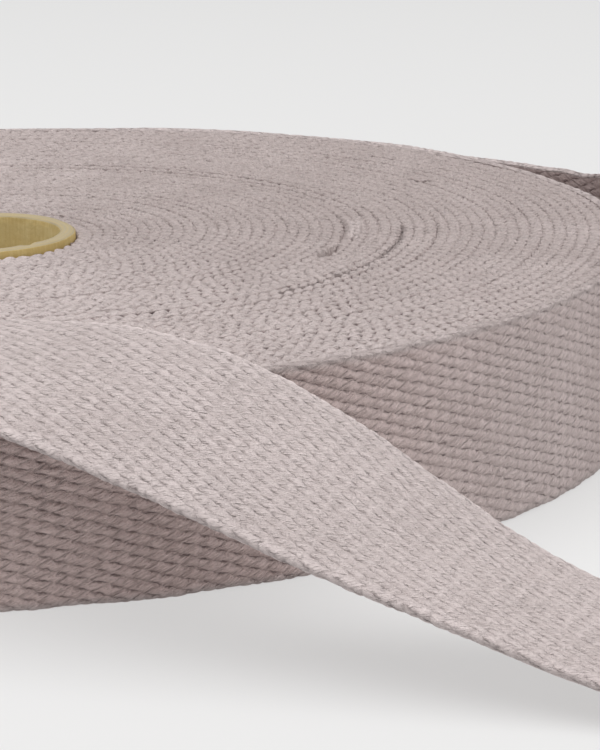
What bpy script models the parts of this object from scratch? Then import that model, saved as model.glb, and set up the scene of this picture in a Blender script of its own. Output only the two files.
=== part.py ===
"""A roll of heavy cotton webbing on a cardboard core.

Three solids: the wound webbing, the core tube that it is wound on, and the loose
end. The loose end starts as the outermost lap, bows away from the roll at its right,
hugs it round the back, leaves it at the left, twists flat over the rim, crosses the
top of the roll and runs down in front of it to lie on the surface.
Metres, +Z up. The shapes are worked out about the roll's axis and then moved together,
so that the origin is under the middle of the whole thing.
"""
import math

import bpy
import bmesh
import numpy as np
from mathutils import Vector

# Driving dimensions, in metres
WEBBING_WIDTH = 0.040
WEBBING_THICKNESS = 0.0024
LAP_PITCH = 0.00249
ROLL_RADIUS = 0.1405
CORE_OUTER_RADIUS = 0.0225
CORE_WALL = 0.0036
CORE_PROUD = 0.0008
CLEARANCE = 0.0003
RIM_ROUNDING = 0.0012
MM = 0.001

# The wound laps end, and the loose end starts, at this angle round the axis
LAP_END_ANGLE = -24.0
# Where the loose end leaves the roll again, at the left
PEEL_ANGLE = 140.0
# The outermost lap stands off the roll between its start and this angle
BOW_END_ANGLE = 33.0
BOW_DEPTH = 0.0120
BOW_SHARPNESS = 1.6
# The roll is not quite a true spiral: it is this much fuller at its right and back,
# between these angles past the end of the laps
SWELL = 0.0024
SWELL_RISE = (0.0, 36.0)
SWELL_FALL = (66.0, 112.0)

# How finely the round shapes are stepped
ROLL_STEPS = 120
CORE_STEPS = 64
LAP_STEP_ANGLE = 4.0
STRIP_SPACING = 0.008
STRIP_CELLS_ACROSS = 4
STEP_FACE_ANGLE = 0.3

# The top of the wound laps: height at each radius, in millimetres.
# Some laps stand a little higher than their neighbours, as wound webbing does.
TOP_BANDS = [
    # radius, height
    (23.0, 38.9),
    (30.0, 39.6),
    (58.0, 40.1),
    (83.0, 39.7),
    (89.0, 40.3),
    (104.0, 39.8),
    (128.0, 40.0),
]

# The free run of the loose end, in millimetres from the roll's axis.
# bank is the turn of the webbing about its own length, in degrees: 90 stands on edge
# as it does against the roll, and 0 lies flat.
FREE_RUN = [
    # x, y, z, bank
    (-140.8, 46.9, 23.2, 101.0),
    (-149.7, 8.8, 32.1, 99.0),
    (-141.5, -28.0, 47.0, 65.5),
    (-114.0, -56.6, 53.5, 29.0),
    (-80.5, -79.2, 47.4, 10.5),
    (-47.2, -101.7, 43.3, 2.0),
    (-14.5, -125.1, 43.9, 3.5),
    (1.8, -136.8, 43.9, 9.1),
    (18.1, -148.2, 42.0, 16.6),
    (34.6, -158.6, 37.5, 20.9),
    (50.8, -168.1, 30.5, 18.6),
    (66.8, -177.1, 22.3, 10.6),
    (82.9, -186.2, 14.5, 3.0),
    (99.4, -195.7, 8.2, 0.5),
    (133.6, -215.2, 2.0, 0.0),
    (168.4, -235.0, 1.2, 0.0),
    (203.2, -254.6, 1.2, 0.0),
]

# Colours, as linear red, green and blue
COTTON = (0.55, 0.46, 0.44)
KRAFT_CARD = (0.60, 0.44, 0.20)


def clear_scene():
    for old in list(bpy.data.objects):
        bpy.data.objects.remove(old, do_unlink=True)


def new_collection(name):
    collection = bpy.data.collections.new(name)
    bpy.context.scene.collection.children.link(collection)
    return collection


def material(name, colour, roughness):
    made = bpy.data.materials.new(name)
    made.use_nodes = True
    shader = made.node_tree.nodes["Principled BSDF"]
    shader.inputs["Base Color"].default_value = (*colour, 1.0)
    shader.inputs["Roughness"].default_value = roughness
    shader.inputs["Metallic"].default_value = 0.0
    return made


def eased(value, span):
    """From 0 before a span to 1 after it, without a corner."""
    share = min(max((value - span[0]) / (span[1] - span[0]), 0.0), 1.0)
    return share * share * (3.0 - 2.0 * share)


def lap_radius(angle):
    """Outer radius of the wound laps at an angle in degrees: it grows by a lap each turn."""
    past = (angle - LAP_END_ANGLE) % 360.0
    fuller = SWELL * (eased(past, SWELL_RISE) - eased(past, SWELL_FALL))
    return ROLL_RADIUS + LAP_PITCH * past / 360.0 + fuller


def turned(name, profile, steps, collection):
    """A closed profile of (radius, height) turned about the vertical axis."""
    mesh = bpy.data.meshes.new(name)
    points = [(radius, 0.0, height) for radius, height in profile]
    edges = [(i, (i + 1) % len(points)) for i in range(len(points))]
    mesh.from_pydata(points, edges, [])
    made = bpy.data.objects.new(name, mesh)
    collection.objects.link(made)
    screw = made.modifiers.new("turn", "SCREW")
    screw.axis = "Z"
    screw.angle = math.tau
    screw.steps = steps
    screw.render_steps = steps
    screw.use_merge_vertices = True
    screw.merge_threshold = 0.00001
    return made


def as_mesh(made):
    """Turn an object's modifiers into its own mesh."""
    bpy.context.view_layer.update()
    evaluated = made.evaluated_get(bpy.context.evaluated_depsgraph_get())
    mesh = bpy.data.meshes.new_from_object(evaluated)
    made.modifiers.clear()
    made.data = mesh


def core_tube(collection):
    inner = CORE_OUTER_RADIUS - CORE_WALL
    top = WEBBING_WIDTH + CORE_PROUD
    profile = [(inner, 0.0), (inner, top), (CORE_OUTER_RADIUS, top), (CORE_OUTER_RADIUS, 0.0)]
    tube = turned("core_tube", profile, CORE_STEPS, collection)
    tube.data.materials.append(material("core_card", KRAFT_CARD, 0.85))
    as_mesh(tube)
    return tube


def roll_profile():
    """Up the bore, out along the banded top, over the rounded rim and down the outside."""
    bore = CORE_OUTER_RADIUS + CLEARANCE
    profile = [(bore, 0.0), (bore, TOP_BANDS[0][1] * MM)]
    profile += [(radius * MM, height * MM) for radius, height in TOP_BANDS[1:]]
    middle = WEBBING_WIDTH - RIM_ROUNDING
    for turn in (90.0, 45.0, 0.0):
        bend = math.radians(turn)
        profile.append((ROLL_RADIUS - RIM_ROUNDING * (1.0 - math.cos(bend)),
                        middle + RIM_ROUNDING * math.sin(bend)))
    profile.append((ROLL_RADIUS, 0.0))
    return profile


def webbing_roll(collection):
    """The turned roll, with its outside drawn out into the last lap and its cut end."""
    roll = turned("webbing_roll", roll_profile(), ROLL_STEPS, collection)
    roll.data.materials.append(material("webbing", COTTON, 0.92))
    as_mesh(roll)
    step = 360.0 / ROLL_STEPS
    bore = CORE_OUTER_RADIUS + CLEARANCE
    for vertex in roll.data.vertices:
        radius = math.hypot(vertex.co.x, vertex.co.y)
        turn = round(math.degrees(math.atan2(vertex.co.y, vertex.co.x)) / step) % ROLL_STEPS
        # The steps share the turn, but for the short one that is the cut end's face
        angle = LAP_END_ANGLE + turn * (360.0 - STEP_FACE_ANGLE) / (ROLL_STEPS - 1)
        outward = (radius - bore) / (ROLL_RADIUS - bore)
        radius += outward * (lap_radius(angle) - ROLL_RADIUS)
        vertex.co.x = radius * math.cos(math.radians(angle))
        vertex.co.y = radius * math.sin(math.radians(angle))
    roll.data.update()
    return roll


def bow(angle):
    """How far the outermost lap stands off the roll at an angle in degrees."""
    share = (angle - LAP_END_ANGLE) / (BOW_END_ANGLE - LAP_END_ANGLE)
    if share <= 0.0 or share >= 1.0:
        return 0.0
    return BOW_DEPTH * math.sin(math.pi * share) ** BOW_SHARPNESS


def lap_stations():
    """The outermost lap, standing on edge: rows of x, y, z and bank, in metres and degrees."""
    start = LAP_END_ANGLE + math.degrees(CLEARANCE / ROLL_RADIUS)
    count = round((PEEL_ANGLE - start) / LAP_STEP_ANGLE)
    rows = []
    for angle in np.linspace(start, PEEL_ANGLE, count + 1):
        radius = lap_radius(angle) + CLEARANCE + WEBBING_THICKNESS / 2 + bow(angle)
        turn = math.radians(angle)
        rows.append((radius * math.cos(turn), radius * math.sin(turn), WEBBING_WIDTH / 2, 90.0))
    return rows


def free_stations():
    return [(x * MM, y * MM, z * MM, bank) for x, y, z, bank in FREE_RUN]


def smooth_run(stations, spacing):
    """Even steps along one smooth curve through the stations, as rows of x, y, z, bank."""
    rows = np.array(stations)
    steps = np.linalg.norm(np.diff(rows[:, :3], axis=0), axis=1)
    along = np.concatenate([[0.0], np.cumsum(steps)])
    slopes = np.gradient(rows, along, axis=0, edge_order=2)
    wanted = np.linspace(0.0, along[-1], round(along[-1] / spacing) + 1)
    span = np.clip(np.searchsorted(along, wanted, side="right") - 1, 0, len(steps) - 1)
    length = steps[span]
    t = ((wanted - along[span]) / length)[:, None]
    ease = t * t * (3.0 - 2.0 * t)
    lead = t * (1.0 - t) ** 2 * length[:, None]
    trail = t * t * (t - 1.0) * length[:, None]
    run = rows[span] * (1.0 - ease) + rows[span + 1] * ease
    run += slopes[span] * lead + slopes[span + 1] * trail
    # Nothing lies lower than the surface that the roll stands on
    run[:, 2] = np.maximum(run[:, 2], WEBBING_THICKNESS / 2)
    return run


def width_directions(run):
    """At each row of a run, the unit vector from the webbing's lower edge to its upper one."""
    heading = np.gradient(run[:, :3], axis=0)
    heading /= np.linalg.norm(heading, axis=1, keepdims=True)
    level = np.cross((0.0, 0.0, 1.0), heading)
    level /= np.linalg.norm(level, axis=1, keepdims=True)
    upright = np.cross(heading, level)
    bank = np.radians(run[:, 3:4])
    return np.cos(bank) * level + np.sin(bank) * upright


def loose_end(collection):
    """A flat grid laid along the run, thickened to the webbing."""
    run = smooth_run(lap_stations() + free_stations(), STRIP_SPACING)
    across = width_directions(run)
    cells_along = len(run) - 1
    grid = bmesh.new()
    bmesh.ops.create_grid(grid, x_segments=cells_along, y_segments=STRIP_CELLS_ACROSS, size=1.0)
    for vertex in grid.verts:
        row = round((vertex.co.x + 1.0) / 2.0 * cells_along)
        offset = vertex.co.y * WEBBING_WIDTH / 2
        vertex.co = Vector(run[row, :3] + across[row] * offset)
    mesh = bpy.data.meshes.new("loose_end")
    grid.to_mesh(mesh)
    grid.free()
    strip = bpy.data.objects.new("loose_end", mesh)
    collection.objects.link(strip)
    strip.data.materials.append(bpy.data.materials["webbing"])
    thicken = strip.modifiers.new("thickness", "SOLIDIFY")
    thicken.thickness = WEBBING_THICKNESS
    thicken.offset = 0.0
    thicken.use_even_offset = True
    return strip


def shade(made):
    made.data.shade_smooth()
    made.data.set_sharp_from_angle(angle=math.radians(35.0))


def stand_at_origin(pieces):
    """Move the pieces together, so that the origin is under the middle of their box."""
    bpy.context.view_layer.update()
    depsgraph = bpy.context.evaluated_depsgraph_get()
    corners = []
    for piece in pieces:
        evaluated = piece.evaluated_get(depsgraph)
        corners += [evaluated.matrix_world @ Vector(corner) for corner in evaluated.bound_box]
    corners = np.array(corners)
    low, high = corners.min(axis=0), corners.max(axis=0)
    middle = (low + high) / 2
    for piece in pieces:
        piece.location = (-middle[0], -middle[1], -low[2])


def main():
    clear_scene()
    collection = new_collection("cotton_webbing_roll")
    pieces = [core_tube(collection), webbing_roll(collection), loose_end(collection)]
    for piece in pieces:
        shade(piece)
    stand_at_origin(pieces)


main()
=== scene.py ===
"""Looks of a roll of heavy cotton webbing on a card core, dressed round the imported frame.

The webbing is modelled as it is made: three swept strips for the wound laps, one for the
last lap with its woven wall, and one for the loose end. Lengths are in millimetres about
the roll's axis until a mesh is written, in metres, in the frame's place.
"""

import math

import bpy
import numpy as np
from mathutils import Matrix, Vector


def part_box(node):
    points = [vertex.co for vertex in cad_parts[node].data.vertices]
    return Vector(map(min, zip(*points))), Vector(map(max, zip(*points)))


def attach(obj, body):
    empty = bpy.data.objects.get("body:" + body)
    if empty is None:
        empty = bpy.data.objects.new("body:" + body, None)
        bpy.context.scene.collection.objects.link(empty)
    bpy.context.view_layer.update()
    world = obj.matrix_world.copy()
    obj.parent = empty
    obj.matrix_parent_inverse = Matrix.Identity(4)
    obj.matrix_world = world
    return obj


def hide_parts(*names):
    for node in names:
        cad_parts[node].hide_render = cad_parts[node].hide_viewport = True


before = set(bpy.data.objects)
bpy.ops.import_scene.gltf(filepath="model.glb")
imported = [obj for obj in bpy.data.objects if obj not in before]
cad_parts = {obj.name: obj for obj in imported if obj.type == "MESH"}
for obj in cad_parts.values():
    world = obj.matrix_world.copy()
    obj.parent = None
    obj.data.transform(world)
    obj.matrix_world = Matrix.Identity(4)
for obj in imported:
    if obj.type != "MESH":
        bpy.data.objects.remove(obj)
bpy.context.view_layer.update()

MM = 0.001
CORE_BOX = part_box("core_tube")
AXIS = (Vector(CORE_BOX[0]) + Vector(CORE_BOX[1])) / 2

# The webbing and the roll, as in the frame's solids
WIDTH = 40.0
THICKNESS = 2.4
LAP_PITCH = 2.49
ROLL_RADIUS = 140.5
CORE_RADIUS = 22.5
CORE_WALL = 3.6
CORE_TOP = 40.8
CLEARANCE = 0.3
LAP_END_ANGLE = -24.0
PEEL_ANGLE = 140.0
BOW_END_ANGLE = 33.0
BOW_DEPTH = 12.0
BOW_SHARPNESS = 1.6
SWELL = 2.4
SWELL_RISE = (0.0, 36.0)
SWELL_FALL = (66.0, 112.0)
LAP_STEP_ANGLE = 4.0

# The free run of the loose end from the roll's axis; bank turns it about its own length
FREE_RUN = [
    # x, y, z, bank
    (-140.8, 46.9, 23.2, 101.0),
    (-149.7, 8.8, 32.1, 99.0),
    (-141.5, -28.0, 47.0, 65.5),
    (-114.0, -56.6, 53.5, 29.0),
    (-80.5, -79.2, 47.4, 10.5),
    (-47.2, -101.7, 43.3, 2.0),
    (-14.5, -125.1, 43.9, 3.5),
    (1.8, -136.8, 43.9, 9.1),
    (18.1, -148.2, 42.0, 16.6),
    (34.6, -158.6, 37.5, 20.9),
    (50.8, -168.1, 30.5, 18.6),
    (66.8, -177.1, 22.3, 10.6),
    (82.9, -186.2, 14.5, 3.0),
    (99.4, -195.7, 8.2, 0.5),
    (133.6, -215.2, 2.0, 0.0),
    (168.4, -235.0, 1.2, 0.0),
    (203.2, -254.6, 1.2, 0.0),
]

# Height of the wound laps' edges at each radius
TOP_BANDS = [
    # radius, height
    (23.0, 38.9),
    (30.0, 39.6),
    (58.0, 40.1),
    (83.0, 39.7),
    (89.0, 40.3),
    (104.0, 39.8),
    (128.0, 40.0),
    (143.0, 39.9),
]

# A splice in the wound laps, at a seam: its raised end, and the dip that leads to it. The tone
# lightens the raised end and paints shade into the dip.
SPLICE = [
    # radius, from angle, to angle, lift, tone
    (83.3, -14.0, -1.5, 0.9, 0.8),
    (81.0, -26.5, -18.5, -2.4, -1.0),
]

# Seams between laps that stand open
OPEN_SEAMS = [
    # radius, from angle, to angle, times deeper
    (93.2, -52.0, -3.0, 3.0),
    (81.0, -16.0, 8.0, 1.8),
    (100.6, -36.0, 4.0, 1.7),
    (108.2, -60.0, -44.0, 1.7),
]

# The weave: puffs of yarn in slanting ribs, each rib's puffs cut off along the yarn's twist.
# They stray along the webbing in a wave of this size, with these radians to a millimetre.
PUFF_REPEAT = 3.2
RIBS = 18
RIB_REPEAT = WIDTH / RIBS
RIB_SLOPE = RIB_REPEAT / 2 / PUFF_REPEAT
PUFF_LEAN = 0.8
STRAY = 0.3
STRAY_ACROSS = 2.1
STRAY_ALONG = 0.13
TWIST_ANGLE = 30.0
# Height of the raised weave on the loose end and on the outer lap
STRIP_DEPTH = 0.7
WALL_DEPTH = 1.1
# The weft's loops along the edges: of the wound laps, and of the two strips
LOOP_REPEAT = PUFF_REPEAT
EDGE_REPEAT = PUFF_REPEAT * 0.75

rng = np.random.default_rng(7)


def eased(value, span):
    """From 0 before a span to 1 after it, without a corner."""
    share = np.clip((value - span[0]) / (span[1] - span[0]), 0.0, 1.0)
    return share * share * (3.0 - 2.0 * share)


def swell(angle):
    """How much fuller the roll is than a true spiral at an angle in degrees."""
    past = (angle - LAP_END_ANGLE) % 360.0
    return SWELL * (eased(past, SWELL_RISE) - eased(past, SWELL_FALL))


def lap_radius(angle):
    """Outer radius of the wound laps at an angle in degrees."""
    past = (angle - LAP_END_ANGLE) % 360.0
    return ROLL_RADIUS + LAP_PITCH * past / 360.0 + swell(angle)


def bow(angle):
    """How far the loose end's lap stands off the roll at an angle in degrees."""
    share = (angle - LAP_END_ANGLE) / (BOW_END_ANGLE - LAP_END_ANGLE)
    if share <= 0.0 or share >= 1.0:
        return 0.0
    return BOW_DEPTH * math.sin(math.pi * share) ** BOW_SHARPNESS


def loose_stations():
    """The whole loose end: rows of x, y, z and bank."""
    start = LAP_END_ANGLE + math.degrees(CLEARANCE / ROLL_RADIUS)
    count = round((PEEL_ANGLE - start) / LAP_STEP_ANGLE)
    rows = []
    for angle in np.linspace(start, PEEL_ANGLE, count + 1):
        radius = lap_radius(angle) + CLEARANCE + THICKNESS / 2 + bow(angle)
        turn = math.radians(angle)
        rows.append((radius * math.cos(turn), radius * math.sin(turn), WIDTH / 2, 90.0))
    return rows + FREE_RUN


def smooth_run(stations, spacing):
    """Even steps along one smooth curve through the stations, as rows of x, y, z, bank."""
    rows = np.array(stations)
    steps = np.linalg.norm(np.diff(rows[:, :3], axis=0), axis=1)
    along = np.concatenate([[0.0], np.cumsum(steps)])
    slopes = np.gradient(rows, along, axis=0, edge_order=2)
    wanted = np.linspace(0.0, along[-1], round(along[-1] / spacing) + 1)
    span = np.clip(np.searchsorted(along, wanted, side="right") - 1, 0, len(steps) - 1)
    length = steps[span]
    t = ((wanted - along[span]) / length)[:, None]
    ease = t * t * (3.0 - 2.0 * t)
    lead = t * (1.0 - t) ** 2 * length[:, None]
    trail = t * t * (t - 1.0) * length[:, None]
    run = rows[span] * (1.0 - ease) + rows[span + 1] * ease
    run += slopes[span] * lead + slopes[span + 1] * trail
    run[:, 2] = np.maximum(run[:, 2], THICKNESS / 2)
    return run


def unit(vectors):
    """The vectors at a length of one."""
    return vectors / np.linalg.norm(vectors, axis=-1, keepdims=True)


def width_and_face(run):
    """The unit vectors across a run's width and out of its face, at each row."""
    heading = unit(np.gradient(run[:, :3], axis=0))
    level = unit(np.cross((0.0, 0.0, 1.0), heading))
    upright = np.cross(heading, level)
    bank = np.radians(run[:, 3:4])
    across = np.cos(bank) * level + np.sin(bank) * upright
    return across, np.cross(heading, across)


# Each puff of the weave has its own height
PUFF_HEIGHTS = rng.uniform(0.7, 1.0, (997, 41))
# Depth of the gaps between a rib's puffs, as a share of their height
PUFF_GAP_DEPTH = 0.5


def weave(along, across):
    """Height of the woven face, 0 in the gaps to 1 on the puffs, at places in millimetres."""
    strayed = along + STRAY * np.sin(STRAY_ACROSS * across + STRAY_ALONG * along)
    rib = (across + RIB_SLOPE * strayed) / RIB_REPEAT
    off_rib = rib - np.round(rib)
    puff = strayed / PUFF_REPEAT - PUFF_LEAN * off_rib
    off_puff = puff - np.round(puff)
    between_ribs = 1.0 - np.sqrt(np.cos(np.pi * off_rib))
    between_puffs = 1.0 - np.sqrt(np.cos(np.pi * off_puff))
    rib_gap = between_ribs * (0.7 + 0.3 * np.cos(2.0 * np.pi * off_puff))
    rows, columns = PUFF_HEIGHTS.shape
    own = PUFF_HEIGHTS[np.round(puff).astype(int) % rows, np.round(rib).astype(int) % columns]
    return own * (1.0 - rib_gap) * (1.0 - PUFF_GAP_DEPTH * between_puffs)


def edge_loops(along):
    """Height of the weft's loops round an edge, 0 between them to 1, at places along it."""
    return np.abs(np.cos(np.pi * (along / EDGE_REPEAT))) ** 0.5


def section(face_cells, edge_cells, back_cells, round_depth, thinning):
    """The webbing's outline, from the top of its face, down it, and round the back.

    Each row is place across, place out of the face, the way that relief goes (across,
    out), how far the point is face, edge and back, and its coordinate across the weave.
    thinning is how much thinner the webbing is at its very edges.
    """
    half, thick = WIDTH / 2, THICKNESS / 2
    flat = half - round_depth
    rows = []
    for cell in range(face_cells + 1):
        w = flat * (1.0 - 2.0 * cell / face_cells)
        rows.append((w, thick, 0.0, 1.0, 1.0, 0.0, 0.0, w * half / flat))
    for side in (-1.0, 1.0):
        for cell in range(1, edge_cells):
            turn = math.pi * cell / edge_cells
            out = math.cos(turn) * -side
            w = side * (flat + round_depth * math.sin(turn))
            rows.append((w, thick * out, side * math.sin(turn), out, 0.0, 1.0, 0.0,
                         side * (half + thick * (1.0 - out))))
        if side < 0.0:
            for cell in range(back_cells + 1):
                w = flat * (-1.0 + 2.0 * cell / back_cells)
                rows.append((w, -thick, 0.0, -1.0, 0.0, 0.0, 1.0, w * half / flat))
    rows = np.array(rows)
    rows[:, 1] *= 1.0 - thinning * (np.abs(rows[:, 0]) / half) ** 10
    return rows


def place(points):
    """Millimetres about the roll's axis, as metres in the frame."""
    return points * MM + np.array((AXIS.x, AXIS.y, 0.0))


# Faces that meet at more than this many degrees keep a sharp edge
SHARP_ANGLE = 85.0


def swept(name, points, texture, values, closed=False):
    """A mesh through rings of points, capped at its ends or closed on itself.

    texture holds each point's place along and across the webbing, and values its named numbers.
    """
    count, around = points.shape[:2]
    rings = count if closed else count - 1
    i, j = np.meshgrid(np.arange(rings), np.arange(around), indexing="ij")
    after, beside = (i + 1) % count, (j + 1) % around
    quads = np.stack([i * around + j, i * around + beside, after * around + beside,
                      after * around + j], axis=-1).reshape(-1)
    sizes = [np.full(rings * around, 4)]
    corners = [quads]
    if not closed:
        corners += [np.arange(around)[::-1], (count - 1) * around + np.arange(around)]
        sizes.append(np.array([around, around]))
    corners, sizes = np.concatenate(corners), np.concatenate(sizes)
    mesh = bpy.data.meshes.new(name)
    mesh.vertices.add(count * around)
    mesh.vertices.foreach_set("co", place(points).astype(np.float32).ravel())
    mesh.loops.add(len(corners))
    mesh.loops.foreach_set("vertex_index", corners.astype(np.int32))
    mesh.polygons.add(len(sizes))
    mesh.polygons.foreach_set("loop_start", (np.cumsum(sizes) - sizes).astype(np.int32))
    mesh.update(calc_edges=True)
    layer = mesh.uv_layers.new(name="UVMap")
    layer.data.foreach_set("uv", texture.reshape(-1, 2)[corners].astype(np.float32).ravel())
    for key, numbers in values.items():
        attribute = mesh.attributes.new(key, "FLOAT", "POINT")
        attribute.data.foreach_set("value", np.broadcast_to(numbers, (count, around))
                                   .astype(np.float32).ravel())
    mesh.shade_smooth()
    mesh.set_sharp_from_angle(angle=math.radians(SHARP_ANGLE))
    made = bpy.data.objects.new(name, mesh)
    bpy.context.scene.collection.objects.link(made)
    return made


# The raised weave and the edge loops stand out of the webbing above these shares of their
# height, and sink into it below them
FACE_LEVEL = 0.72
LOOP_LEVEL = 0.7
LOOP_DEPTH = 0.25
# How far the loops lean along the webbing, the band of the face that they cover, and how
# far in from the edges the outline is rounded
LOOP_LEAN = 0.6
EDGE_BAND = 1.3
EDGE_ROUNDING = 1.0
# Share of the face's relief that goes on under the loops
RELIEF_UNDER_LOOPS = 0.2
# Slow waves in the loops' places, in the edges and in the cloth's tone
LOOP_WANDER = 0.8
EDGE_WAVE = 0.22
TONE_WAVE = 0.06
# How dark the painted shade in the gaps between loops is, how dark the back's painted shade is,
# and how bold the back's weave is
LOOP_GAP_SHADE = 0.65
BACK_PAINTED_SHADE = 0.75
BACK_BOLD = 0.8
# Texture coordinates are millimetres along and across the webbing, times this
TEXTURE_SCALE = 0.01


def wander(count, knots, size):
    """A slow random wave along a count of stations."""
    values = rng.uniform(-size, size, knots)
    return np.interp(np.linspace(0.0, knots - 1.0, count), np.arange(knots), values)


def woven_strip(name, run, along, outline, depth, bold, tones, rise, edge_shade):
    """The webbing laid along a run, with its puffs and edge loops standing out of it.

    bold is how strongly the face's weave shows, and how much painted shade tint and painted
    light on its puffs it gets. tones make the face, the edges and the back lighter or darker,
    and carry painted light and shade. rise lifts the upper edge, and edge_shade paints shade
    into its gaps.
    Each of these, and the depth of relief, may change along the run.
    """
    depth, bold, rise, edge_shade, face_tone, edge_tone, back_tone = (
        np.broadcast_to(number, len(run))[:, None]
        for number in (depth, bold, rise, edge_shade, *tones))
    across, face = width_and_face(run)
    heading = np.cross(across, face)
    w, out, lift_w, lift_out, is_face, is_edge, is_back, weave_across = outline.T
    count = len(run)
    heights = weave(along[:, None], weave_across[None, :])
    looped = along + wander(count, max(4, count // 7), LOOP_WANDER)
    loop_sizes = rng.uniform(0.6, 1.0, 4096)
    loop_size = loop_sizes[np.round(looped / EDGE_REPEAT).astype(int) % len(loop_sizes)]
    loop_heights = (edge_loops(looped) * loop_size)[:, None] * np.ones(len(w))
    near_edge = np.clip((np.abs(weave_across) - (WIDTH / 2 - EDGE_BAND)) / EDGE_BAND, 0.0, 1.0)
    face_relief = depth * (heights - FACE_LEVEL)
    edge_relief = LOOP_DEPTH * (loop_heights - LOOP_LEVEL) + RELIEF_UNDER_LOOPS * face_relief
    share = np.where(is_edge > 0.0, 1.0, near_edge * is_face)
    relief = np.where(is_back > 0.0, 0.0, face_relief * (1.0 - share) + edge_relief * share)
    edge_wave = wander(count, max(4, count // 12), EDGE_WAVE)[:, None] * (w / (WIDTH / 2)) ** 3
    upper = np.clip(w / (WIDTH / 2), 0.0, 1.0)
    place_w = w + lift_w * relief + edge_wave + rise * upper
    place_out = out + lift_out * relief
    lean = -LOOP_LEAN * np.where(is_edge > 0.0, out / (THICKNESS / 2), 0.0)
    points = (run[:, None, :3] + across[:, None] * place_w[..., None]
              + face[:, None] * place_out[..., None] + heading[:, None] * lean[None, :, None])
    texture = np.empty((count, len(w), 2))
    texture[..., 0] = along[:, None] * TEXTURE_SCALE
    texture[..., 1] = weave_across[None, :] * TEXTURE_SCALE
    # Painted shade on the backs, in the gaps between edge loops and along the bow's edges
    values = {
        "painted_shade": (BACK_PAINTED_SHADE * is_back
                   + share * (LOOP_GAP_SHADE * (1.0 - loop_heights) + edge_shade)),
        "woven": 1.0,
        "bold": np.maximum(bold * is_face * (1.0 - near_edge), BACK_BOLD * is_back),
        "tone": face_tone + wander(count, max(4, count // 25), TONE_WAVE)[:, None]
                + edge_tone * share + back_tone * is_back,
    }
    return swept(name, points, texture, values)


# Steps along the strips, and cells across their face, edges and back. Rows are kept at each
# step where the photograph shows the strip, and elsewhere at every few, with less relief.
FINE_STEP = PUFF_REPEAT / 8
COARSE_EVERY = 4
COARSE_RELIEF = 0.35
FACE_CELLS = 72
EDGE_CELLS = 7
LOOSE_BACK_CELLS = 10
LAP_BACK_CELLS = 2


def rows_to_keep(run, windows):
    """The rows of a fine run to keep: all or every few of them in the windows, fewer elsewhere.

    A window is its start and end along the run, and which of its rows to keep.
    """
    keep = np.zeros(len(run), bool)
    keep[::COARSE_EVERY] = True
    for start, end, every in windows:
        low = max(int(start / FINE_STEP), 0)
        high = min(int(end / FINE_STEP) + 1, len(run))
        keep[low - low % every:high:every] = True
    keep[-1] = True
    return np.nonzero(keep)[0]


def nearest(run, x, y):
    """The row of a run that is nearest to a place."""
    return int(np.argmin(np.hypot(run[:, 0] - x, run[:, 1] - y)))


def relief_share(fine):
    """The share of the relief that stands out, from how fine the rows are."""
    return COARSE_RELIEF + (1.0 - COARSE_RELIEF) * fine


# Stretches of the loose end, in millimetres along it: where it starts and stops hugging the
# roll and how much closer it lies there, where its bow's shade ends, where the look of its
# face changes from the wall's to the free strip's, and where it stops being pressed flat
HUG_START = (120.0, 140.0)
HUG_END = (370.0, 400.0)
HUG_CLOSER = 0.25
BOW_SHADE_END = (95.0, 135.0)
FACE_CHANGE = (380.0, 560.0)
FLAT_END = (20.0, 140.0)
# How far the bow's upper edge stands proud, and the wave in it
BOW_RISE = 0.8
BOW_WAVE = 0.45
BOW_WAVE_LENGTH = 15.0
# The photograph shows the free strip between these places, and the bow from this distance
# to this angle from the strip's start; fine rows fade to coarse ones over this length
SEEN_FROM = (-24.0, -118.0)
SEEN_TO = (118.0, -206.0)
BOW_SEEN_FROM = 70.0
BOW_SEEN_ANGLE = 80.0
FINE_FADE = 12.0
# The loose end is thinner at its edges by this share
LOOSE_THINNING = 0.35
# Tones of the strips: faces where the strip is free and on the roll, edges, and backs. The edges'
# raised tone is painted light, and the backs' lowered tone painted shade.
FREE_TONE = 0.42
WALL_TONE = 0.5
EDGE_LIT_TONE = 1.0
SHADED_BACK_TONE = -0.4
# Flattened cloth is darker by this and its weave less bold
FLATTER_TONE = 0.3
FLATTER_BOLD = 0.65
# How much painted shade darkens the gaps along the bow's edges
BOW_EDGE_SHADE = 0.6


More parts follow.
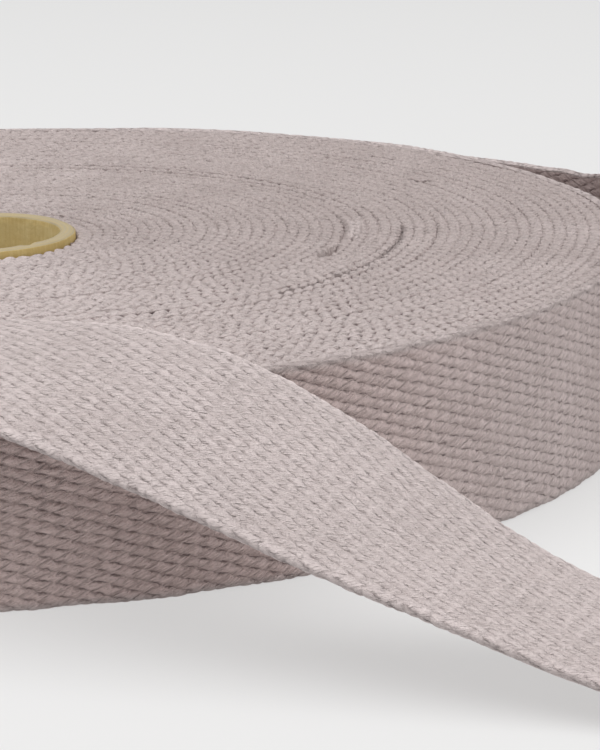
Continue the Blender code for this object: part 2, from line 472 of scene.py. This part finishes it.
def make_loose_end():
    """Part of a lap round the roll, and the free run that follows it, as one strip."""
    run = smooth_run(loose_stations(), FINE_STEP)
    along = np.arange(len(run)) * FINE_STEP
    hugging = eased(along, HUG_START) * (1.0 - eased(along, HUG_END))
    run[:, :2] *= 1.0 - hugging[:, None] * HUG_CLOSER / ROLL_RADIUS
    start = nearest(run, *SEEN_FROM) * FINE_STEP
    end = nearest(run, *SEEN_TO) * FINE_STEP
    bow_end = int(ROLL_RADIUS * math.radians(BOW_SEEN_ANGLE) / FINE_STEP) * FINE_STEP
    rows = rows_to_keep(run, [(start, end, 1), (BOW_SEEN_FROM, bow_end, 2)])
    run, along = run[rows], along[rows]
    # Where the lap bows, its upper edge stands a little proud and waves, and its inside and edges
    # are painted with the roll's shade; after that it hugs the roll, and its face shows as the
    # outer lap's
    bowed = 1.0 - eased(along, BOW_SHADE_END)
    rise = bowed * (BOW_RISE + BOW_WAVE * np.cos(math.tau * along / BOW_WAVE_LENGTH))
    on_roll = 1.0 - eased(along, FACE_CHANGE)
    flatter = 1.0 - eased(along, FLAT_END)
    face_tone = FREE_TONE + (WALL_TONE - FREE_TONE) * on_roll - FLATTER_TONE * flatter
    fine = eased(along, (start - FINE_FADE, start)) * (1.0 - eased(along, (end, end + FINE_FADE)))
    outline = section(FACE_CELLS, EDGE_CELLS, LOOSE_BACK_CELLS, EDGE_ROUNDING, LOOSE_THINNING)
    # Painted shade: the bow's edge and back tones are lowered by bowed
    piece = woven_strip("loose_end_cloth", run, along, outline, STRIP_DEPTH * relief_share(fine),
                        on_roll * (1.0 - FLATTER_BOLD * flatter),
                        (face_tone, EDGE_LIT_TONE - bowed, SHADED_BACK_TONE - bowed), rise,
                        BOW_EDGE_SHADE * bowed)
    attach(piece, "root")
    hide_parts("loose_end")
    return piece


# The last wound lap, in degrees round the roll: where the photograph shows it, how soon
# before that its rows grow fine, and how far it stops short of the loose end's start
LAST_LAP_SEEN = (-98.0, -27.0)
LAST_LAP_FADE = 5.0
LAST_LAP_SHORT = 0.15
# It is pressed flatter towards the right, past a stretch that starts and ends here, where the
# loose end's shadow is painted darker on the wall
LAST_LAP_FLATTENS = (-72.0, -40.0)
SHADOW_START = (-86.0, -74.0)
SHADOW_END = (-68.0, -58.0)
SHADOW_TONE = 0.5
FLATTER_DEPTH = 0.45
LAST_LAP_EDGE_TONE = -0.8


def make_outer_lap():
    """The last wound lap, whose woven wall shows."""
    length = math.tau * ROLL_RADIUS
    count = round(length / FINE_STEP)
    angles = np.linspace(LAP_END_ANGLE - 360.0, LAP_END_ANGLE - LAST_LAP_SHORT, count + 1)
    radius = ROLL_RADIUS + LAP_PITCH * (0.5 + (angles - LAP_END_ANGLE) / 360.0)
    radius += swell(angles)
    turn = np.radians(angles)
    run = np.stack([radius * np.cos(turn), radius * np.sin(turn),
                    np.full(count + 1, WIDTH / 2), np.full(count + 1, 90.0)], axis=1)
    along = np.arange(count + 1) * FINE_STEP
    seen = [(angle - LAP_END_ANGLE + 360.0) / 360.0 * length for angle in LAST_LAP_SEEN]
    rows = rows_to_keep(run, [(*seen, 1)])
    run, along, angles = run[rows], along[rows], angles[rows]
    flatter = eased(angles, LAST_LAP_FLATTENS)
    # Painted shadow of the loose end on the wall
    darker = eased(angles, SHADOW_START) * (1.0 - eased(angles, SHADOW_END))
    face_tone = WALL_TONE - FLATTER_TONE * flatter - SHADOW_TONE * darker
    fine = eased(angles, (LAST_LAP_SEEN[0] - LAST_LAP_FADE, LAST_LAP_SEEN[0]))
    depth = (WALL_DEPTH - FLATTER_DEPTH * flatter) * relief_share(fine)
    outline = section(FACE_CELLS, EDGE_CELLS, LAP_BACK_CELLS, EDGE_ROUNDING / 2, 0.0)
    piece = woven_strip("outer_lap", run, along, outline, depth, 1.0 - FLATTER_BOLD * flatter,
                        (face_tone, LAST_LAP_EDGE_TONE, SHADED_BACK_TONE), 0.0, 0.0)
    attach(piece, "root")
    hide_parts("webbing_roll")
    return piece


# The wound laps inside the last one. The side that the photograph shows, in degrees, has
# more steps to each loop of the weft. The pieces end at these shares of the winding, which
# makes them about as long as each other.
LAPS = 48.0
PIECE_ENDS = (0.0, 0.5, 0.79, 1.0)
SEEN_ARC = (-97.0, 97.0)
SEEN_STEPS = 4
UNSEEN_STEPS = 2
# Places across a lap's upper edge, and across its foot with their heights and their shade
LAP_PROFILE = np.array([-1.0, -0.72, -0.36, 0.0, 0.36, 0.72, 1.0])
FOOT_OUT = np.array([1.15, 0.0, -1.15])
FOOT_RISE = np.array([0.5, 0.05, 0.5])
FOOT_SHADE = (1.0, 0.3, 1.0)
# A lap is this much wider than its pitch at a loop, so that neighbours touch, and draws in
# between loops. Its edge falls off towards both sides, and its loops stand up.
LOOP_SPREAD = 1.10
LOOP_PINCH = 0.36
DOME = 0.45
LAP_LOOP_DEPTH = 0.4
LAP_LOOP_LEVEL = 0.6
LAP_ROUGH = 0.17
# Slow changes of height along the winding and, taken backwards, of tone, each with a knot
# at every so many degrees
LAP_LIFTS = rng.uniform(-0.15, 0.15, 240)
LIFT_REPEAT = 70.0
TONE_REPEAT = 110.0
# Over how many degrees the ends of the splice and of the open seams fade
SPLICE_FADE = 1.0
SEAM_FADE = 4.0


def lap_steps(first, last):
    """Stations from one winding angle to another, as rows of angle, loop phase and distance."""
    rows = []
    angle, loop, along = first, 0, 0.0
    while angle < last:
        radius = ROLL_RADIUS + LAP_PITCH * (0.5 + (angle - LAP_END_ANGLE) / 360.0)
        side = (angle + 180.0) % 360.0 - 180.0
        steps = SEEN_STEPS if SEEN_ARC[0] < side < SEEN_ARC[1] else UNSEEN_STEPS
        length = LOOP_REPEAT * rng.uniform(0.84, 1.16)
        for step in range(steps):
            part = step / steps
            rows.append((angle + math.degrees(length * part / radius), loop + part,
                         along + length * part))
        angle += math.degrees(length / radius)
        along += length
        loop += 1
    return np.array([row for row in rows if row[0] < last])


def on_stretch(seam, side, radius, start, end, fade):
    """Which places lie on a stretch of a seam: 1 on it, fading to 0 at its ends."""
    near = (np.abs(seam - radius) < LAP_PITCH / 2) * eased(side, (start, start + fade))
    return near * (1.0 - eased(side, (end - fade, end)))


def wound_laps(name, first, last):
    """A piece of the wound laps from one winding angle to another, standing on its edge."""
    angle, phase, along = lap_steps(first, last).T
    side = ((angle + 180.0) % 360.0 - 180.0)[:, None]
    outer = ROLL_RADIUS + LAP_PITCH * (1.0 + (angle - LAP_END_ANGLE) / 360.0)
    outer = np.maximum(outer, CORE_RADIUS + CLEARANCE + LAP_PITCH)
    outer += swell(angle) * (outer / ROLL_RADIUS) ** 3
    middle = (outer - LAP_PITCH / 2)[:, None]
    bands = np.array(TOP_BANDS)
    wound, knots = (LAP_END_ANGLE - angle)[:, None], np.arange(len(LAP_LIFTS))
    top = np.interp(middle, bands[:, 0], bands[:, 1])
    top = top + np.interp(wound / LIFT_REPEAT, knots, LAP_LIFTS)
    tone = np.interp(wound / TONE_REPEAT, knots, LAP_LIFTS[::-1])
    # Each loop has its own size, and its own depth of the gaps beside it
    loop = np.round(phase).astype(int)
    loop_count = int(phase[-1]) + 2
    size = rng.uniform(0.6, 1.0, loop_count)[loop]
    gap = rng.uniform(0.0, 0.5, loop_count)[loop][:, None]
    on_loop = np.abs(np.cos(np.pi * phase))
    height = (on_loop ** 0.6 * size)[:, None]
    # The seam that each place across the edge is nearest to, by its radius
    across = LAP_PROFILE[None, :]
    seam = middle + np.sign(across) * LAP_PITCH / 2
    dip_shade, opened = np.zeros_like(seam), np.ones_like(seam)
    for radius, start, end, raised, shade in SPLICE:
        near = on_stretch(seam, side, radius, start, end, SPLICE_FADE)
        top = top + raised * near
        tone = tone + 2.0 * shade * near
        dip_shade += max(-shade, 0.0) * near
    for radius, start, end, times in OPEN_SEAMS:
        opened += (times - 1.0) * on_stretch(seam, side, radius, start, end, SEAM_FADE)
    low = (1.0 - on_loop[:, None] ** 0.8) ** (1.0 / opened)
    out = across * LAP_PITCH / 2 * (LOOP_SPREAD - LOOP_PINCH * low * opened)
    rough = rng.uniform(-LAP_ROUGH, LAP_ROUGH, out.shape) * (1.0 - 0.5 * np.abs(across))
    rise = (top - DOME * opened * across ** 4 * (0.25 + 0.5 * gap + low)
            + LAP_LOOP_DEPTH * (height - LAP_LOOP_LEVEL) + rough)
    lean = -LOOP_LEAN * across * np.ones_like(out)
    # The foot stays plain
    plain = np.zeros((len(angle), len(FOOT_OUT)))
    out = np.concatenate([out, plain + FOOT_OUT], axis=1)
    rise = np.concatenate([rise, plain + FOOT_RISE], axis=1)
    lean = np.concatenate([lean, plain], axis=1)
    turn = np.radians(angle)[:, None]
    radius = middle + out
    points = np.stack([radius * np.cos(turn) - lean * np.sin(turn),
                       radius * np.sin(turn) + lean * np.cos(turn), rise], axis=-1)
    texture = np.empty(points.shape[:2] + (2,))
    texture[..., 0] = (along * TEXTURE_SCALE)[:, None]
    texture[..., 1] = out * TEXTURE_SCALE
    shade = np.abs(np.concatenate([LAP_PROFILE, FOOT_SHADE]))
    # The cloth is darker on the right and a little at the back, and lighter on the left
    side_tone = 0.1 - 0.3 * np.sin(np.radians(side)) - 0.9 * np.cos(np.radians(side))
    # Painted shade between the loops, in the splice's dip and on the foot, strongest at the seams
    painted_shade = np.concatenate([low + 0.7 * dip_shade, plain + 1.0], axis=1)
    values = {
        "painted_shade": painted_shade * (0.3 + 0.7 * shade ** 3) + 0.25 * (1.0 - height),
        "woven": 0.0,
        "bold": 0.0,
        "tone": np.concatenate([0.5 * tone + side_tone, plain], axis=1),
    }
    piece = swept(name, points, texture, values)
    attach(piece, "root")
    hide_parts("webbing_roll")
    return piece


def make_laps():
    """All the laps inside the last one, in a few pieces."""
    last = LAP_END_ANGLE - 360.0
    first = last - 360.0 * (LAPS - 1.0)
    marks = [first + (last - first) * share for share in PIECE_ENDS]
    return [wound_laps(f"wound_laps_{number}", start, end)
            for number, (start, end) in enumerate(zip(marks, marks[1:]), 1)]


# The card core: points round it, plies in its cut rim, how far the rim's two edges are worn
# down, how deep the grooves between plies are, and the waves of its roughness to one turn
CORE_AROUND = 192
PLIES = 6
RIM_WEAR = 0.35
PLY_GROOVE = 0.12
RIM_WAVES = (3, 5, 9, 14, 23)
RIM_ROUGH_OUT = 0.3
RIM_ROUGH_UP = 0.4
# Heights above which the tube's wall is rough, and above which its surface is cut card
ROUGH_FROM = 40.0
CUT_FROM = 40.3
# A nick in the rim's inner edge: its place round the axis and its width in degrees, and
# its depth and its reach into the wall
NICK_ANGLE = 306.0
NICK_WIDTH = 2.6
NICK_DEPTH = 0.7
NICK_REACH = 1.6


def make_core():
    """A card tube: plies show at its end, and its rim is a little worn."""
    inner = CORE_RADIUS - CORE_WALL
    profile = [(inner, 0.0), (inner, 20.0), (inner, 38.5), (inner + 0.15, 40.1)]
    for ply in range(PLIES + 1):
        share = ply / PLIES
        edge_drop = RIM_WEAR * (abs(share - 0.5) * 2.0) ** 4
        groove = PLY_GROOVE if ply % 2 else 0.0
        profile.append((inner + 0.3 + (CORE_WALL - 0.6) * share, CORE_TOP - edge_drop - groove))
    profile += [(CORE_RADIUS - 0.05, 40.2), (CORE_RADIUS, 38.5), (CORE_RADIUS, 0.0)]
    profile = np.array(profile)
    turn = np.arange(CORE_AROUND) / CORE_AROUND * math.tau
    rough = np.zeros((CORE_AROUND, len(profile)))
    for waves in RIM_WAVES:
        size = rng.uniform(0.3, 1.0)
        start = rng.uniform(0, 6.28, len(profile))
        rough += size * np.sin(waves * turn[:, None] + start) / waves
    at_top = (profile[:, 1] > ROUGH_FROM).astype(float)
    radius = profile[None, :, 0] + rough * RIM_ROUGH_OUT * at_top
    height = profile[None, :, 1] + np.roll(rough, 7, axis=0) * RIM_ROUGH_UP * at_top
    off_nick = (np.degrees(turn) - NICK_ANGLE)[:, None] / NICK_WIDTH
    nick = np.exp(-off_nick ** 2) * at_top * (profile[:, 0] < inner + NICK_REACH)
    height -= NICK_DEPTH * nick
    points = np.stack([radius * np.cos(turn)[:, None], radius * np.sin(turn)[:, None],
                       height * np.ones_like(radius)], axis=-1)
    texture = np.empty(points.shape[:2] + (2,))
    texture[..., 0] = (turn * CORE_RADIUS * TEXTURE_SCALE)[:, None]
    texture[..., 1] = np.arange(len(profile)) * TEXTURE_SCALE
    cut = (profile[:, 1] > CUT_FROM).astype(float)
    outside = profile[:, 0] > CORE_RADIUS - 0.1
    ply = np.where(outside, 2.0, np.arange(len(profile)) % 2)
    values = {"ply": ply + 4.0 * nick, "cut": cut}
    piece = swept("card_core", points, texture, values, closed=True)
    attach(piece, "root")
    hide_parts("core_tube")
    return piece


class Nodes:
    """Short ways to add and join a material's nodes."""

    def __init__(self, name):
        self.material = bpy.data.materials.new(name)
        self.material.use_nodes = True
        self.tree = self.material.node_tree
        self.shader = self.tree.nodes["Principled BSDF"]

    def add(self, kind, **inputs):
        node = self.tree.nodes.new(kind)
        for key, value in inputs.items():
            self.put(node.inputs[key.replace("_", " ")], value)
        return node

    def put(self, socket, value):
        if isinstance(value, bpy.types.NodeSocket):
            self.tree.links.new(value, socket)
        else:
            socket.default_value = value

    def math(self, operation, *values):
        node = self.tree.nodes.new("ShaderNodeMath")
        node.operation = operation
        for socket, value in zip(node.inputs, values):
            self.put(socket, value)
        return node.outputs[0]

    def attribute(self, name):
        node = self.tree.nodes.new("ShaderNodeAttribute")
        node.attribute_name = name
        return node.outputs["Fac"]

    def mix(self, share, first, second, blend="MIX"):
        node = self.tree.nodes.new("ShaderNodeMix")
        node.data_type = "RGBA"
        node.blend_type = blend
        self.put(node.inputs["Factor"], share)
        self.put(node.inputs["A"], first)
        self.put(node.inputs["B"], second)
        return node.outputs["Result"]

    def noise(self, vector, scale, detail=2.0, roughness=0.5):
        node = self.add("ShaderNodeTexNoise", Vector=vector, Scale=scale, Detail=detail,
                        Roughness=roughness)
        return node.outputs["Fac"]

    def bump(self, height, distance, strength=1.0, normal=None):
        node = self.add("ShaderNodeBump", Height=height, Distance=distance, Strength=strength)
        if normal is not None:
            self.put(node.inputs["Normal"], normal)
        return node.outputs["Normal"]


# Colours of the materials, as linear red, green and blue
COTTON_LIGHT = (0.77, 0.67, 0.655, 1.0)
COTTON_DARK = (0.49, 0.41, 0.395, 1.0)
# The colour that painted shade darkens the cotton towards, in gaps, dips and shaded backs
COTTON_SHADE = (0.17, 0.115, 0.11, 1.0)
# Painted shade tint: the boldly woven faces, the wall and the backs that lie in shade, are this
# much redder, standing in for the warm light bounced between the cloth
BOLD_SHADE_TINT = (1.06, 0.97, 0.95, 1.0)
CARD_LIGHT = (0.70, 0.60, 0.33, 1.0)
CARD_DARK = (0.50, 0.36, 0.13, 1.0)
CARD_CUT = (0.40, 0.33, 0.19, 1.0)
CARD_WORN = (0.35, 0.30, 0.22, 1.0)
# Scales of the noises, in waves to a metre
MOTTLE_SCALE = 55.0
LUMP_SCALE = 480.0
FUZZ_SCALE = 1500.0
RAGGED_SCALE = 700.0
CARD_FIBRE_SCALE = 700.0
CARD_PATCH_SCALE = 120.0
# Heights of the bumps, in metres
GAP_BUMP = -0.0004
LUMP_BUMP = 0.0016
FIBRE_BUMP = 0.0008
FUZZ_BUMP = 0.00035
CARD_BUMP = 0.0002


def webbing_material():
    """Cotton: painted shade in the gaps between the puffs of its weave, fibres along the twist,
    and fuzz.
    """
    nodes = Nodes("cotton_webbing")
    texture = nodes.add("ShaderNodeUVMap")
    texture.uv_map = "UVMap"
    split = nodes.add("ShaderNodeSeparateXYZ", Vector=texture.outputs["UV"])
    along = nodes.math("DIVIDE", split.outputs["X"], TEXTURE_SCALE)
    across = nodes.math("DIVIDE", split.outputs["Y"], TEXTURE_SCALE)
    # Fibres: streaks along the yarn's twist
    twist = math.radians(TWIST_ANGLE)
    run_u = nodes.math("MULTIPLY", along, math.cos(twist))
    run_v = nodes.math("MULTIPLY", along, -math.sin(twist))
    streak_u = nodes.math("MULTIPLY_ADD", across, math.sin(twist), run_u)
    streak_v = nodes.math("MULTIPLY_ADD", across, math.cos(twist), run_v)
    streak_place = nodes.add("ShaderNodeCombineXYZ", X=nodes.math("MULTIPLY", streak_u, 0.5),
                             Y=nodes.math("MULTIPLY", streak_v, 2.6))
    fibres = nodes.noise(streak_place.outputs["Vector"], 1.0, 3.0, 0.65)
    place_node = nodes.add("ShaderNodeTexCoord")
    mottle = nodes.noise(place_node.outputs["Object"], MOTTLE_SCALE, 3.0)
    lumps = nodes.noise(place_node.outputs["Object"], LUMP_SCALE, 2.0)
    fuzz = nodes.noise(place_node.outputs["Object"], FUZZ_SCALE, 3.0, 0.75)
    painted_shade = nodes.attribute("painted_shade")
    bold = nodes.attribute("bold")
    tone = nodes.attribute("tone")
    woven = nodes.attribute("woven")
    # The gaps of the weave, by the same rule as the mesh's relief, but for ragged sides
    stray = nodes.math("MULTIPLY", across, STRAY_ACROSS)
    stray = nodes.math("SINE", nodes.math("MULTIPLY_ADD", along, STRAY_ALONG, stray))
    ragged = nodes.noise(place_node.outputs["Object"], RAGGED_SCALE, 2.0)
    ragged = nodes.math("MULTIPLY_ADD", ragged, 1.5, -0.75)
    strayed = nodes.math("MULTIPLY_ADD", stray, STRAY, nodes.math("ADD", along, ragged))
    rib = nodes.math("MULTIPLY_ADD", ragged, 0.45, across)
    rib = nodes.math("DIVIDE", nodes.math("MULTIPLY_ADD", strayed, RIB_SLOPE, rib), RIB_REPEAT)
    rib_number = nodes.math("ROUND", rib)
    off_rib = nodes.math("SUBTRACT", rib, rib_number)
    puff = nodes.math("DIVIDE", strayed, PUFF_REPEAT)
    puff = nodes.math("MULTIPLY_ADD", off_rib, -PUFF_LEAN, puff)
    puff_number = nodes.math("ROUND", puff)
    off_puff = nodes.math("SUBTRACT", puff, puff_number)
    rib_line = nodes.math("ABSOLUTE", nodes.math("MULTIPLY", off_rib, 2.0))
    rib_line = nodes.math("POWER", rib_line, 3.4)
    puff_line = nodes.math("ABSOLUTE", nodes.math("MULTIPLY", off_puff, 2.0))
    puff_line = nodes.math("POWER", puff_line, 5.0)
    # The lines between ribs are darker beside each puff than where two puffs meet
    dash = nodes.math("COSINE", nodes.math("MULTIPLY", off_puff, math.tau))
    dash = nodes.math("MULTIPLY_ADD", dash, 0.45, 0.55)
    rib_line = nodes.math("MULTIPLY", rib_line, dash)
    gaps = nodes.math("MULTIPLY", puff_line, nodes.math("MULTIPLY_ADD", bold, 0.06, 0.4))
    gaps = nodes.math("MAXIMUM", rib_line, gaps)
    # Each puff has its own tone
    own = nodes.tree.nodes.new("ShaderNodeTexWhiteNoise")
    own.noise_dimensions = "2D"
    number = nodes.add("ShaderNodeCombineXYZ", X=rib_number, Y=puff_number)
    nodes.put(own.inputs["Vector"], number.outputs["Vector"])
    own_tone = nodes.math("MULTIPLY", own.outputs["Value"], woven)
    gaps = nodes.math("MULTIPLY", gaps, nodes.math("MULTIPLY_ADD", own.outputs["Value"], 0.7, 0.4))
    strength = nodes.math("MULTIPLY_ADD", bold, 0.2, nodes.math("MULTIPLY", woven, 0.62))
    # Painted shade: the painted_shade attribute and the weave's gaps darken the colour towards
    # COTTON_SHADE
    depth = nodes.math("MULTIPLY", nodes.math("POWER", painted_shade, 2.2), 0.8)
    depth = nodes.math("MULTIPLY_ADD", gaps, strength, depth)
    lightness = nodes.math("MULTIPLY_ADD", tone, 0.5, -0.8)
    lightness = nodes.math("MULTIPLY_ADD", mottle, 0.6, lightness)
    lightness = nodes.math("MULTIPLY_ADD", fibres, 1.5, lightness)
    streaks = nodes.math("MULTIPLY_ADD", fibres, 1.6, -0.8)
    lightness = nodes.math("MULTIPLY_ADD", streaks, bold, lightness)
    # Painted light and shade: a puff is painted lighter on its upper side and darker on its lower
    # side, as light from above falls
    lit = nodes.math("MULTIPLY_ADD", off_puff, -0.35, off_rib)
    lightness = nodes.math("MULTIPLY_ADD", nodes.math("MULTIPLY", lit, bold), 0.9, lightness)
    lightness = nodes.math("MULTIPLY_ADD", fuzz, 0.45, lightness)
    lightness = nodes.math("MULTIPLY_ADD", own_tone, 0.25, lightness)
    colour = nodes.mix(lightness, COTTON_DARK, COTTON_LIGHT)
    # Painted shade tint: the bold faces are made redder, as cloth in shade looks
    colour = nodes.mix(bold, colour, BOLD_SHADE_TINT, "MULTIPLY")
    colour = nodes.mix(depth, colour, COTTON_SHADE)
    nodes.put(nodes.shader.inputs["Base Color"], colour)
    nodes.shader.inputs["Roughness"].default_value = 0.95
    nodes.shader.inputs["Specular IOR Level"].default_value = 0.15
    nodes.shader.inputs["Sheen Weight"].default_value = 0.12
    nodes.shader.inputs["Sheen Roughness"].default_value = 0.6
    normal = nodes.bump(nodes.math("MULTIPLY", gaps, woven), GAP_BUMP)
    smooth = nodes.math("SUBTRACT", 1.0, woven)
    normal = nodes.bump(nodes.math("MULTIPLY", lumps, smooth), LUMP_BUMP, 1.0, normal)
    normal = nodes.bump(fibres, FIBRE_BUMP, 1.0, normal)
    normal = nodes.bump(fuzz, FUZZ_BUMP, 1.0, normal)
    nodes.put(nodes.shader.inputs["Normal"], normal)
    return nodes.material


def card_material():
    """Card: fibres, patches and streaks, with a worn cut rim where the plies show."""
    nodes = Nodes("kraft_card")
    place_node = nodes.add("ShaderNodeTexCoord")
    fibres = nodes.noise(place_node.outputs["Object"], CARD_FIBRE_SCALE, 3.0, 0.65)
    patches = nodes.noise(place_node.outputs["Object"], CARD_PATCH_SCALE, 3.0)
    ply = nodes.attribute("ply")
    # Streaks run up the tube's wall
    texture = nodes.add("ShaderNodeUVMap")
    texture.uv_map = "UVMap"
    around = nodes.add("ShaderNodeSeparateXYZ", Vector=texture.outputs["UV"]).outputs["X"]
    up = nodes.add("ShaderNodeSeparateXYZ", Vector=place_node.outputs["Object"]).outputs["Z"]
    streak_place = nodes.add("ShaderNodeCombineXYZ", X=nodes.math("MULTIPLY", around, 160.0),
                             Y=nodes.math("MULTIPLY", up, 120.0))
    streaks = nodes.noise(streak_place.outputs["Vector"], 1.0, 3.0, 0.65)
    share = nodes.math("MULTIPLY_ADD", fibres, 0.5, nodes.math("MULTIPLY", patches, 0.55))
    share = nodes.math("ADD", share, nodes.math("MULTIPLY_ADD", streaks, 1.0, -0.5))
    share = nodes.math("SUBTRACT", share, nodes.math("MULTIPLY", ply, 0.25))
    card = nodes.mix(share, CARD_DARK, CARD_LIGHT)
    worn = nodes.mix(nodes.math("MULTIPLY", patches, 1.2), CARD_CUT, CARD_WORN)
    worn = nodes.mix(nodes.math("MULTIPLY", ply, 0.35), worn, CARD_DARK)
    nodes.put(nodes.shader.inputs["Base Color"], nodes.mix(nodes.attribute("cut"), card, worn))
    nodes.shader.inputs["Roughness"].default_value = 0.8
    nodes.put(nodes.shader.inputs["Normal"], nodes.bump(fibres, CARD_BUMP, 0.8))
    return nodes.material


def plain_material(name, colour, roughness):
    nodes = Nodes(name)
    nodes.shader.inputs["Base Color"].default_value = (*colour, 1.0)
    nodes.shader.inputs["Roughness"].default_value = roughness
    return nodes.material


# The camera stands where the photograph was taken from, in millimetres from the roll's
# axis. Its turns are in radians, and its lens and sensor in millimetres.
CAMERA_PLACE = (0.0, -662.8, 170.4)
CAMERA_DOWN = 0.2426
CAMERA_RIGHT = 0.1071
CAMERA_ROLL = -0.0169
FOCAL_LENGTH = 147.9
SENSOR = 36.0
# What is nearer or farther than this, in metres, is left out of the picture
CAMERA_RANGE = (0.01, 20.0)


def make_camera():
    forward = Vector((math.sin(CAMERA_RIGHT) * math.cos(CAMERA_DOWN),
                      math.cos(CAMERA_RIGHT) * math.cos(CAMERA_DOWN), -math.sin(CAMERA_DOWN)))
    level = Vector((math.cos(CAMERA_RIGHT), -math.sin(CAMERA_RIGHT), 0.0))
    upright = level.cross(forward)
    right = math.cos(CAMERA_ROLL) * level + math.sin(CAMERA_ROLL) * upright
    up = -math.sin(CAMERA_ROLL) * level + math.cos(CAMERA_ROLL) * upright
    data = bpy.data.cameras.new("camera")
    data.sensor_width = SENSOR
    data.lens = FOCAL_LENGTH
    data.clip_start, data.clip_end = CAMERA_RANGE
    camera = bpy.data.objects.new("camera", data)
    turn = Matrix((right, up, -forward)).transposed().to_4x4()
    spot = Vector(CAMERA_PLACE) * MM + Vector((AXIS.x, AXIS.y, 0.0))
    camera.matrix_world = Matrix.Translation(spot) @ turn
    bpy.context.scene.collection.objects.link(camera)
    bpy.context.scene.camera = camera


def area_light(name, place_at, aim, size, power):
    """A round white light that faces a point."""
    data = bpy.data.lights.new(name, "AREA")
    data.shape = "DISK"
    data.size = size
    data.energy = power
    light = bpy.data.objects.new(name, data)
    light.location = place_at
    light.rotation_mode = "QUATERNION"
    light.rotation_quaternion = (Vector(aim) - Vector(place_at)).to_track_quat("-Z", "Y")
    bpy.context.scene.collection.objects.link(light)


# The floor reaches this far from the origin, in metres, and glows a little, as a lit sweep
FLOOR_HALF = 9.0
FLOOR_COLOUR = (0.24, 0.24, 0.24)
FLOOR_ROUGHNESS = 0.7
FLOOR_GLOW = (1.0, 0.995, 0.99, 1.0)
GLOW_STRENGTH = 0.53


def make_stage():
    """A plain pale floor that fills the picture from any side."""
    half = FLOOR_HALF
    corners = [(-half, -half, 0.0), (half, -half, 0.0), (half, half, 0.0), (-half, half, 0.0)]
    mesh = bpy.data.meshes.new("floor")
    mesh.from_pydata(corners, [], [(0, 1, 2, 3)])
    floor = bpy.data.objects.new("floor", mesh)
    pale = plain_material("pale_floor", FLOOR_COLOUR, FLOOR_ROUGHNESS)
    shader = pale.node_tree.nodes["Principled BSDF"]
    shader.inputs["Emission Color"].default_value = FLOOR_GLOW
    shader.inputs["Emission Strength"].default_value = GLOW_STRENGTH
    floor.data.materials.append(pale)
    bpy.context.scene.collection.objects.link(floor)


WORLD_STRENGTH = 0.22
# The lights face a point on the roll's axis at this height, in metres
AIM_HEIGHT = 0.02
LIGHTS = [
    # name, place and size in metres, power in watts
    ("key", (-0.35, 0.0, 1.4), 2.0, 28.5),
    ("side", (1.3, -0.2, 0.6), 0.8, 4.6),
    ("front", (0.8, -1.3, 0.7), 1.0, 2.0),
]


def make_light():
    """An even white surrounding and three soft lights."""
    world = bpy.data.worlds.new("studio")
    world.use_nodes = True
    world.node_tree.nodes["Background"].inputs["Color"].default_value = (1.0, 1.0, 1.0, 1.0)
    world.node_tree.nodes["Background"].inputs["Strength"].default_value = WORLD_STRENGTH
    bpy.context.scene.world = world
    for name, place_at, size, power in LIGHTS:
        area_light(name, place_at, (AXIS.x, AXIS.y, AIM_HEIGHT), size, power)
    scene = bpy.context.scene
    scene.view_settings.view_transform = "Standard"
    scene.view_settings.look = "None"


def main():
    make_camera()
    webbing = webbing_material()
    for piece in [make_loose_end(), make_outer_lap(), *make_laps()]:
        piece.data.materials.append(webbing)
    make_core().data.materials.append(card_material())
    make_stage()
    make_light()


main()
